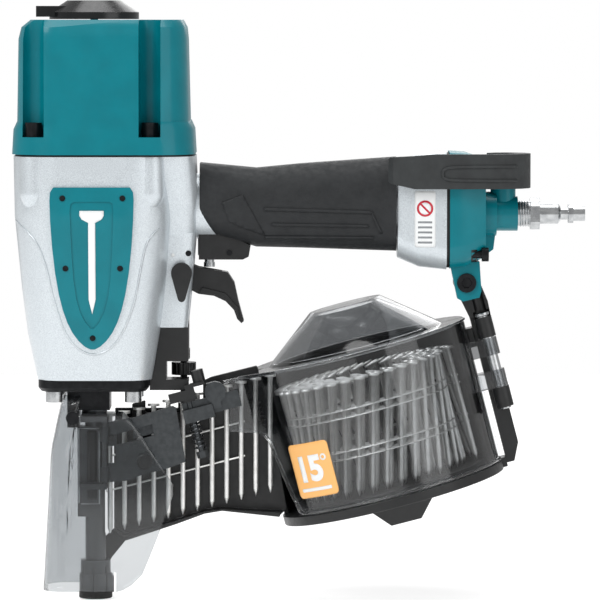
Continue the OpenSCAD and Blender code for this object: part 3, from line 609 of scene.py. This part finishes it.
def smooth_line(points, rounds=2):
    """Rounds the corners of a line by cutting them off in turn."""
    for _ in range(rounds):
        cut = [points[0]]
        for (x0, z0), (x1, z1) in zip(points, points[1:]):
            cut += [(0.75 * x0 + 0.25 * x1, 0.75 * z0 + 0.25 * z1),
                    (0.25 * x0 + 0.75 * x1, 0.25 * z0 + 0.75 * z1)]
        points = cut + [points[-1]]
    return points


def make_badge():
    """A plain nail sign in the badge's sunk panel."""
    sign = [(-1.6, 158), (0.2, 150.5), (2.0, 158), (2.0, 197.5), (5.2, 199.2), (6.4, 201), (6.4, 203.6),
            (-6.0, 203.6), (-6.0, 201), (-4.8, 199.2), (-1.6, 197.5)]
    mark_on("name_plate", sign, "badge_nail_sign", "tool", WHITE, 0.4, 2.0)


def make_housing_lines():
    """The cast contour round the badge, and the white dot by the trigger pin."""
    contour = smooth_line([(-39.5, 197.9), (-28, 188), (-22.9, 173.9), (-19.8, 157.8), (-12.4, 135.6),
                           (0.5, 127.6), (12.9, 134.5), (21.6, 154.2), (25, 173.9), (27.6, 186.4),
                           (31.7, 192.1), (34.5, 194)], 3)
    mark_on("main_housing", band(contour, 0.9), "barrel_contour", "tool", PEARL, 0.35, 2.0)
    mark_on("main_housing", disc(40.9, 179.7, 1.0, 20), "white_dot", "tool", WHITE, 0.15, 1.0)


def make_hook_ribs():
    """A raised rib along the hook's band, rounded at its front end."""
    rib = smooth_line([(218, 225.8), (186, 225.6), (180.5, 224.8), (179.6, 222), (180.5, 219.4), (186, 218.6),
                       (218, 218.4)], 2)
    mark_on("rafter_hook", band(rib, 1.3), "hook_rib", "hook", HOOK, 0.7, 2.5)


def make_cap_slot():
    """Painted shade for the drain slot low on the end cap: a thin black film where the slot's hollow would be
    dark.
    """
    # the black film is painted shade of the slot, not a dark part
    mark_on("end_cap", rounded_rectangle(194.9, 198.1, 175.9, 182.6, 0.5), "cap_slot_painted_shade", "tool", BLACK,
            0.12, 1.5)


def make_nose_details():
    """Painted shade in the window of the nose's frame, the bright edges of the frame, and painted shade on the
    faces of the door's rivets.
    """
    # a thin black film in the frame's window: painted shade where the opening's hollow would be dark
    mark_on("nose_guide", rounded_rectangle(-4, 1, 52, 88, 0.6), "nose_window_painted_shade", "tool", BLACK,
            0.08)
    edges = ([(-8.3, 50), (-8.3, 89), (2.3, 89)], [(2.3, 87.8), (2.3, 49.6), (-7.2, 49.6)])
    for index, edge in enumerate(edges):
        mark_on("nose_guide", band(edge, 0.7), f"nose_frame_edge_{index + 1}", "tool", ALLOY, 0.25)
    # black discs on the door's boss and rivet: painted shade standing in for the shading round their edges
    for index, (x, z, radius) in enumerate(((26.1, 72.3, 4.1), (8.8, 84.5, 2.1))):
        mark_on("feed_door", disc(x, z, radius), f"door_rivet_painted_shade_{index + 1}", "door", BLACK,
                0.08)


def make_plug_thread():
    """Pipe thread between the end cap and the plug's hexagon."""
    turns, per_turn = 4, 28
    start_x, length, radius, plug_z = 220.2, 5.4, 6.45, 200.5
    path = []
    for i in range(turns * per_turn + 1):
        angle = math.tau * i / per_turn
        path.append(Vector((start_x + length * i / (turns * per_turn), radius * math.cos(angle),
                            plug_z + radius * math.sin(angle))) * MM)
    finish_piece(wire_through(path, 0.5), "plug_thread", "tool", PLATED)


def cover_plan(u):
    """How far out the clear cover's wall stands at a place along the drum."""
    if u > -47.5:
        return -math.sqrt(max(DRUM_RADIUS ** 2 - u ** 2, 0.0))
    if u > -61:
        return -33.27 + (-47.5 - u) / 13.5 * 16.27
    return -17 + (-61 - u) / 25 * 2


def make_cover_rims():
    """The rounded clear bead along the cover's cut edge, floor and hinge side, and along its upper rim."""
    slant = [(71, 88.2), (86, 87.6), (88.6, 86.2), (91, 83.4), (97, 69.2), (103.6, 53.6), (105.2, 51.4),
             (107, 47)]
    path = []
    for (x0, z0), (x1, z1) in zip(slant, slant[1:]):
        for i in range(6):
            x, z = x0 + (x1 - x0) * i / 6 - 154.7, z0 + (z1 - z0) * i / 6 - 57.2
            u = x * math.cos(DRUM_TILT) + z * math.sin(DRUM_TILT)
            w = -x * math.sin(DRUM_TILT) + z * math.cos(DRUM_TILT)
            if w > 1.4:
                path.append((u, cover_plan(u) - 0.35, w))
    start = math.atan2(path[-1][1], path[-1][0]) % math.tau
    for i in range(1, 61):
        angle = start + (math.radians(356) - start) * i / 60
        path.append((58.35 * math.cos(angle), 58.35 * math.sin(angle), 1.4))
    path += [(58.2, -4.1, 2.6 + 7 * i) for i in range(7)]
    rims = [wire_through([TO_DRUM @ (Vector(p) * MM) for p in path], 0.95)]
    top = []
    for i in range(71):
        angle = math.radians(356 - 141 * i / 70)
        top.append((58.1 * math.cos(angle), 58.1 * math.sin(angle), 76.2))
    for u in (-50, -54, -58, -61, -66, -71):
        top.append((u, cover_plan(u) - 0.1, 76.2))
    rims.append(wire_through([TO_DRUM @ (Vector(p) * MM) for p in top], 0.85))
    rim = join(rims)
    finish_piece(rim, "cover_rim_beads", "cover", RIM)
    rim.visible_shadow = False


def guard_section(z):
    """Front face, half width and corner radius of the soft guard at a height."""
    levels = ((4.5, -26.5, 21.0, 11.0), (78.0, -22.4, 18.5, 10.0), (109.0, -15.6, 16.5, 9.0))
    low, high = (levels[0], levels[1]) if z < 78 else (levels[1], levels[2])
    t = (z - low[0]) / (high[0] - low[0])
    return [low[i] + (high[i] - low[i]) * t for i in (1, 2, 3)]


def make_soft_guard():
    """The clear flexible guard: one sheet wrapped round the nose's front."""
    near = [-14, -11, -8, -5, -2, 0, 2, 4, 6, 8, 10.4, 11.5, 15, 19.5, 25, 29, 33, 36.5, 39, 41.5]
    floor_line = [(11.5, 5.5), (15, 6.4), (19.5, 9), (25, 14.5), (29, 24), (33, 34), (36.5, 43.5), (39, 50),
                  (41.5, 57)]
    top_line = [(-14, 102), (-11, 98.9), (15, 98.9), (19.5, 94.5), (25, 86), (29, 79.7), (33, 73.5),
                (36.5, 68), (39, 64), (41.5, 60)]

    def along(line, x):
        """The height of a line at x."""
        if x <= line[0][0]:
            return line[0][1]
        for (x0, z0), (x1, z1) in zip(line, line[1:]):
            if x <= x1:
                return z0 + (z1 - z0) * (x - x0) / (x1 - x0)
        return line[-1][1]

    columns = [("far", x) for x in (-2, -5, -8, -11, -14)]
    columns += [("far_corner", a) for a in (0, 18, 36, 54, 72, 90)]
    columns += [("front", t) for t in (0.25, 0.5, 0.75)]
    columns += [("near_corner", a) for a in (90, 72, 54, 36, 18, 0)]
    columns += [("near", x) for x in near]
    heights = [0, 0.035, 0.07, 0.1075] + [0.1075 + 0.8925 * i / 14 for i in range(1, 15)]
    bpy.ops.object.select_all(action="DESELECT")
    bpy.ops.mesh.primitive_grid_add(x_subdivisions=len(columns) - 1, y_subdivisions=len(heights) - 1, size=2)
    sheet = bpy.context.object
    order = sorted(range(len(sheet.data.vertices)),
                   key=lambda i: (round(sheet.data.vertices[i].co.x, 4), sheet.data.vertices[i].co.y))
    for rank, index in enumerate(order):
        kind, value = columns[rank // len(heights)]
        share = heights[rank % len(heights)]
        low, top = 5.5, 98.9
        if kind == "near":
            low, top = along(floor_line, value), along(top_line, value)
        elif kind != "far":
            top = 107.0
        elif value <= -14:
            top = 102.0
        z = low + (top - low) * share
        front, half, radius = guard_section(z)
        if kind in ("far", "near"):
            x, y = max(value, front + radius), half
        elif kind == "front":
            x, y = front, (half - radius) * (1 - 2 * value)
        else:
            a = math.radians(value)
            x = front + radius - radius * math.sin(a)
            y = half - radius + radius * math.cos(a)
        if kind.startswith("near"):
            y = -y
        sheet.data.vertices[index].co = Vector((x, y, z)) * MM
    remove_strip(sheet, 10.4, 11.5, 15.6)
    remove_strip(sheet, -18.6, -17.2, 15.6)
    wall = sheet.modifiers.new("wall", "SOLIDIFY")
    wall.thickness = 1.0 * MM
    wall.offset = 0.0
    apply_modifiers(sheet)
    finish_piece(sheet, "soft_guard", None, GUARD)
    sheet.visible_shadow = False
    return sheet


def remove_strip(sheet, x0, x1, top_z):
    """Cuts a slit up from the near side's lower edge."""
    only(sheet)
    bpy.ops.object.mode_set(mode="EDIT")
    bpy.ops.mesh.select_mode(type="FACE")
    bpy.ops.mesh.select_all(action="DESELECT")
    bpy.ops.object.mode_set(mode="OBJECT")
    for face in sheet.data.polygons:
        x, y, z = face.center / MM
        face.select = x0 < x < x1 and y < -12 and z < top_z
    bpy.ops.object.mode_set(mode="EDIT")
    bpy.ops.mesh.delete(type="FACE")
    bpy.ops.object.mode_set(mode="OBJECT")


def make_rear_label():
    """A white safety film on the handle's rear, with a plain ring sign and blank text bars."""
    mark_on("main_housing", rounded_rectangle(165.6, 176.4, 184, 213, 1.2), "rear_label", "tool", WHITE,
            0.15, 1.5)
    ring = disc(171, 204, 4.2)
    mark_on("main_housing", ring, "rear_label_ring", "tool", RED, 0.25, 1.5)
    mark_on("main_housing", disc(171, 204, 3.1), "rear_label_disc", "tool", WHITE, 0.32, 1.5)
    mark_on("main_housing", band([(168.7, 206.3), (173.3, 201.7)], 1.0), "rear_label_slash", "tool", RED,
            0.4, 1.5)
    for i in range(5):
        z = 197.4 - 2.6 * i
        bar = [(167.4, z), (174.6, z), (174.6, z - 1), (167.4, z - 1)]
        mark_on("main_housing", bar, f"rear_label_bar_{i + 1}", "tool", INK, 0.22, 1.5)


def make_grip_relief():
    """Raised lines and a five-sided pad moulded on the grip."""
    lines = {
        "upper": [(88, 203.5), (143.5, 202), (148.5, 191)],
        "middle": [(92, 195.6), (142, 194.8)],
        "lower": [(88.5, 189), (144.5, 188.8)],
    }
    for name, points in lines.items():
        mark_on("grip_sleeve", band(points, 1.5), f"grip_line_{name}", "tool", GRIP, 0.7, 2.5)
    pad = [(66.5, 207), (77, 211), (88.5, 190), (78, 193.5), (70, 197)]
    mark_on("grip_sleeve", pad, "grip_pad", "tool", GRIP, 0.6, 2.0)


WHITE = printed_film("white_print", "#eef0f0")
ORANGE = printed_film("orange_film", "#f8bb70")
RED = printed_film("red_print", "#c8283a")
INK = printed_film("grey_print", "#8b8f92")

for name, width in {
    "head_cover": 1.4, "main_housing": 1.0, "end_cap": 1.2, "grip_sleeve": 1.0, "deflector": 0.8,
    "name_plate": 0.5, "rafter_hook": 1.3, "trigger": 0.8, "trigger_bracket": 0.8, "mode_selector": 0.6,
    "nose_flange": 0.8, "nose_guide": 0.5, "contact_tip": 0.4, "contact_foot": 0.6, "contact_arm": 0.4,
    "contact_link": 0.4, "depth_block": 0.6, "depth_wheel": 0.3, "feed_door": 0.5, "door_latch": 0.6,
    "latch_bracket": 0.4, "feed_track": 0.5, "magazine_canister": 0.8, "magazine_cover": 0.5,
    "magazine_arm": 1.0, "air_plug": 0.3, "feed_cylinder": 0.6, "nose_bolts": 0.4, "head_bolts": 0.4,
    "end_cap_bolts": 0.4, "arm_bolts": 0.5, "hook_bolt": 0.4, "hinge_pin": 0.3, "feed_pawl": 0.4,
    "name_plate_screws": 0.25, "door_pin": 0.4, "nail_platform": 0.5,
}.items():
    soften(name, width)

nail_model = make_nail()
make_nail_coil(nail_model)
make_bridge_nails(nail_model)
bpy.data.objects.remove(nail_model)
make_cover_label()
make_badge()
make_housing_lines()
make_hook_ribs()
make_cap_slot()
make_nose_details()
make_plug_thread()
make_cover_rims()
make_rear_label()
make_grip_relief()
guard = make_soft_guard()
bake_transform(guard)
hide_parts("chip_shield", "shield_flap")


# ---------------------------------------------------------------- studio

def make_studio():
    """A pale floor, a white room that is brighter to the camera, and soft boxes all round and above."""
    bpy.ops.object.select_all(action="DESELECT")
    bpy.ops.mesh.primitive_plane_add(size=3, location=(0.1, 0, -0.0005))
    floor = bpy.context.object
    floor.name = "studio_floor"
    mat, tree, surface, place = start_material("pale_floor")
    pale = two_tone(tree, grain(tree, place, 400.0), "#b0b0b0", "#b5b5b5")
    tree.links.new(pale, surface.inputs["Base Color"])
    set_values(surface, {"Roughness": 0.9, "Emission Color": (1, 1, 1, 1), "Emission Strength": 0.7})
    floor.data.materials.append(mat)

    bpy.context.scene.view_settings.view_transform = "Standard"
    world = bpy.data.worlds.new("studio")
    bpy.context.scene.world = world
    world.use_nodes = True
    tree = world.node_tree
    tree.nodes.clear()
    room = add_node(tree, "ShaderNodeBackground", values={"Color": (1, 1, 1, 1), "Strength": 0.45})
    backdrop = add_node(tree, "ShaderNodeBackground", values={"Color": (1, 1, 1, 1), "Strength": 1.0})
    seen = add_node(tree, "ShaderNodeLightPath").outputs["Is Camera Ray"]
    mixed = add_node(tree, "ShaderNodeMixShader", links={0: seen, 1: room.outputs[0], 2: backdrop.outputs[0]})
    add_node(tree, "ShaderNodeOutputWorld", links={"Surface": mixed.outputs[0]})

    aim = Vector((0.1, 0.0, 0.16))
    for name, place, power, size in (("key", (-0.9, -1.3, 1.3), 17, 0.9), ("fill", (1.4, -1.2, 0.7), 6, 1.2),
                                     ("top", (0.1, 0.2, 1.8), 14, 1.2), ("back", (0.3, 1.6, 1.0), 8, 1.2)):
        light = bpy.data.lights.new(name, "AREA")
        light.energy = power
        light.size = size
        lamp = bpy.data.objects.new(name, light)
        bpy.context.collection.objects.link(lamp)
        lamp.location = place
        lamp.rotation_euler = (aim - Vector(place)).to_track_quat("-Z", "Y").to_euler()


def make_camera():
    """Camera on the tool's left side, with the object filling a 0.312 m square frame."""
    frame_size = 0.312
    distance = 2.4
    rise = math.radians(3.5)
    centre = Vector((0.1066, 0.0, 0.1555))
    camera = bpy.data.cameras.new("camera")
    camera.sensor_width = 36.0
    camera.lens = camera.sensor_width * distance / frame_size
    camera.clip_end = 50
    holder = bpy.data.objects.new("camera", camera)
    bpy.context.collection.objects.link(holder)
    holder.location = centre + Vector((0, -distance * math.cos(rise), distance * math.sin(rise)))
    holder.rotation_euler = (math.pi / 2 - rise, 0, 0)
    bpy.context.scene.camera = holder


make_studio()
make_camera()
